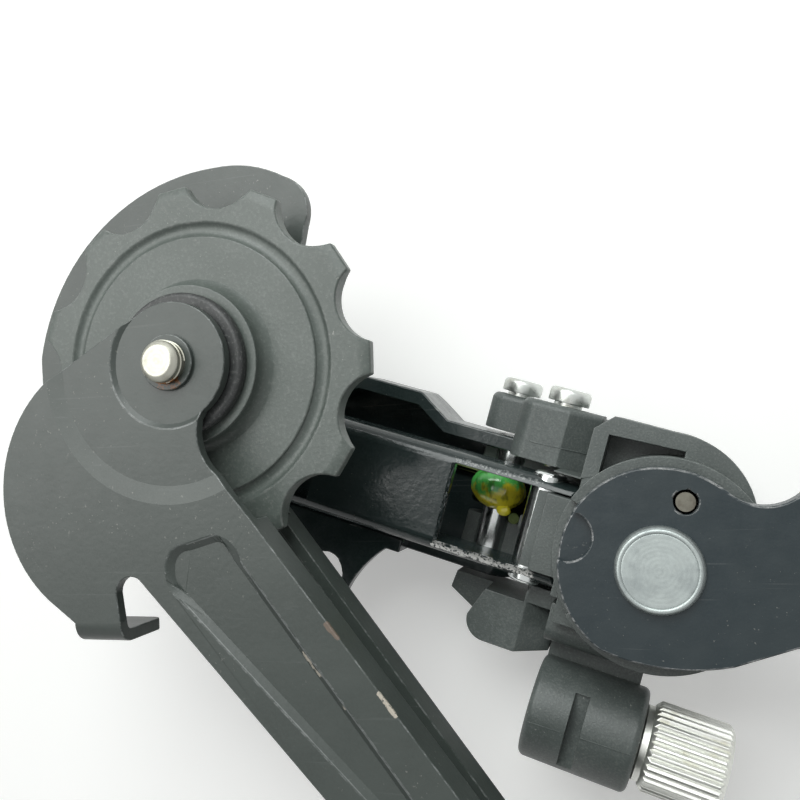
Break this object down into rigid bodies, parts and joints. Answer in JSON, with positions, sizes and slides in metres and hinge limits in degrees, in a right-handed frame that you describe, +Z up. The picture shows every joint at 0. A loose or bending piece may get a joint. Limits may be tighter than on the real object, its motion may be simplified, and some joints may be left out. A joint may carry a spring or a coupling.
{
  "type": "rear derailleur",
  "caption": "Long-cage bicycle rear derailleur with a bolt-on hanger, sprung pivots, shift linkage, cable adjuster and two chain pulleys.",
  "frame": {"origin": "wheel axle centre in the hanger slot, on the hanger face that meets the frame", "axes": "+X forward on the bicycle, +Y towards the wheel, +Z up"},
  "size_m": [0.1272, 0.0498, 0.1351],
  "materials": {
    "zinc_plate": "satin black coating",
    "rivet_steel": "matte pale steel",
    "spring_steel": "oiled spring steel",
    "black_nylon": "moulded matte black",
    "pin_steel": "turned steel",
    "screw_zinc": "zinc plated",
    "knurled_alloy": "straight knurl",
    "black_gloss": "gloss black coating",
    "greased_spring": "zinc with yellow grease",
    "black_cast": "black coated casting",
    "black_satin": "satin black coating, chipped",
    "grey_nylon": "matte dark grey",
    "bush_steel": "turned steel",
    "cap_black": "satin black",
    "bolt_steel": "bright zinc, a little rust"
  },
  "bodies": {
    "hanger": {"hanger_bracket": "zinc_plate", "pivot_rivet": "rivet_steel", "upper_pivot_spring": "spring_steel"},
    "upper_knuckle": {"upper_knuckle": "black_nylon", "inner_pin_upper": "pin_steel", "outer_pin_upper": "pin_steel", "return_spring": "greased_spring"},
    "limit_screw_front": {"limit_screw_front": "screw_zinc"},
    "limit_screw_back": {"limit_screw_back": "screw_zinc"},
    "barrel_adjuster": {"barrel_adjuster": "knurled_alloy"},
    "inner_link": {"inner_link": "black_gloss"},
    "outer_link": {"outer_link": "black_gloss", "cable_clamp": "screw_zinc", "cable_bolt": "screw_zinc"},
    "lower_knuckle": {"lower_knuckle": "black_cast", "inner_pin_lower": "pin_steel", "outer_pin_lower": "pin_steel", "cage_spring": "spring_steel"},
    "cage": {"cage_axle": "pin_steel", "cage_stop_pin": "pin_steel", "cage_outer_plate": "black_satin", "cage_inner_plate": "black_satin", "guide_bush": "bush_steel", "guide_caps": "cap_black", "guide_bolt": "bolt_steel", "tension_bush": "bush_steel", "tension_caps": "cap_black", "tension_bolt": "bolt_steel"},
    "guide_pulley": {"guide_pulley": "grey_nylon"},
    "tension_pulley": {"tension_pulley": "grey_nylon"}
  },
  "joints": [
    {"name": "hanger_pivot", "type": "hinge", "parent": "hanger", "child": "upper_knuckle", "pos_m": [0, -0.014, -0.032], "axis": [0, -1, 0], "range_deg": [0, 30], "stiffness_Nm_per_rad": 0.6, "springref_deg": -68.75, "deforming": ["upper_pivot_spring"]},
    {"name": "shift", "type": "hinge", "parent": "upper_knuckle", "child": "outer_link", "pos_m": [0.00667, -0.024, -0.05551], "axis": [0.9511, 0, 0.309], "range_deg": [0, 50], "stiffness_Nm_per_rad": 0.4, "springref_deg": -68.75, "deforming": ["return_spring"]},
    {"name": "inner_link_turn", "type": "hinge", "parent": "upper_knuckle", "child": "inner_link", "pos_m": [0.0042, -0.011, -0.0479], "axis": [0.9511, 0, 0.309], "range_deg": [0, 50]},
    {"name": "lower_knuckle_turn", "type": "hinge", "parent": "outer_link", "child": "lower_knuckle", "pos_m": [0.02058, -0.024, -0.09831], "axis": [0.9511, 0, 0.309], "range_deg": [-50, 0]},
    {"name": "cage_swing", "type": "hinge", "parent": "lower_knuckle", "child": "cage", "pos_m": [0.02621, 0.0015, -0.10594], "axis": [0, -1, 0], "range_deg": [0, 135], "stiffness_Nm_per_rad": 0.25, "springref_deg": -91.67, "deforming": ["cage_spring"]},
    {"name": "guide_pulley_spin", "type": "hinge", "parent": "cage", "child": "guide_pulley", "pos_m": [0.02734, 0.009, -0.08707], "axis": [0, 1, 0], "continuous": true},
    {"name": "tension_pulley_spin", "type": "hinge", "parent": "cage", "child": "tension_pulley", "pos_m": [-0.04856, 0.009, -0.03877], "axis": [0, 1, 0], "continuous": true},
    {"name": "barrel_turn", "type": "hinge", "parent": "upper_knuckle", "child": "barrel_adjuster", "pos_m": [-0.02635, -0.014, -0.03154], "axis": [-0.309, 0, 0.9511], "range_deg": [-720, 720]},
    {"name": "front_screw_turn", "type": "hinge", "parent": "upper_knuckle", "child": "limit_screw_front", "pos_m": [0.02163, -0.017, -0.04329], "axis": [0.9511, 0, 0.309], "range_deg": [-720, 720]},
    {"name": "back_screw_turn", "type": "hinge", "parent": "upper_knuckle", "child": "limit_screw_back", "pos_m": [0.0241, -0.024, -0.0509], "axis": [0.9511, 0, 0.309], "range_deg": [-720, 720]}
  ],
  "couplings": [
    {"joint": "inner_link_turn", "follows": "shift", "ratio": 1},
    {"joint": "lower_knuckle_turn", "follows": "shift", "ratio": -1}
  ]
}
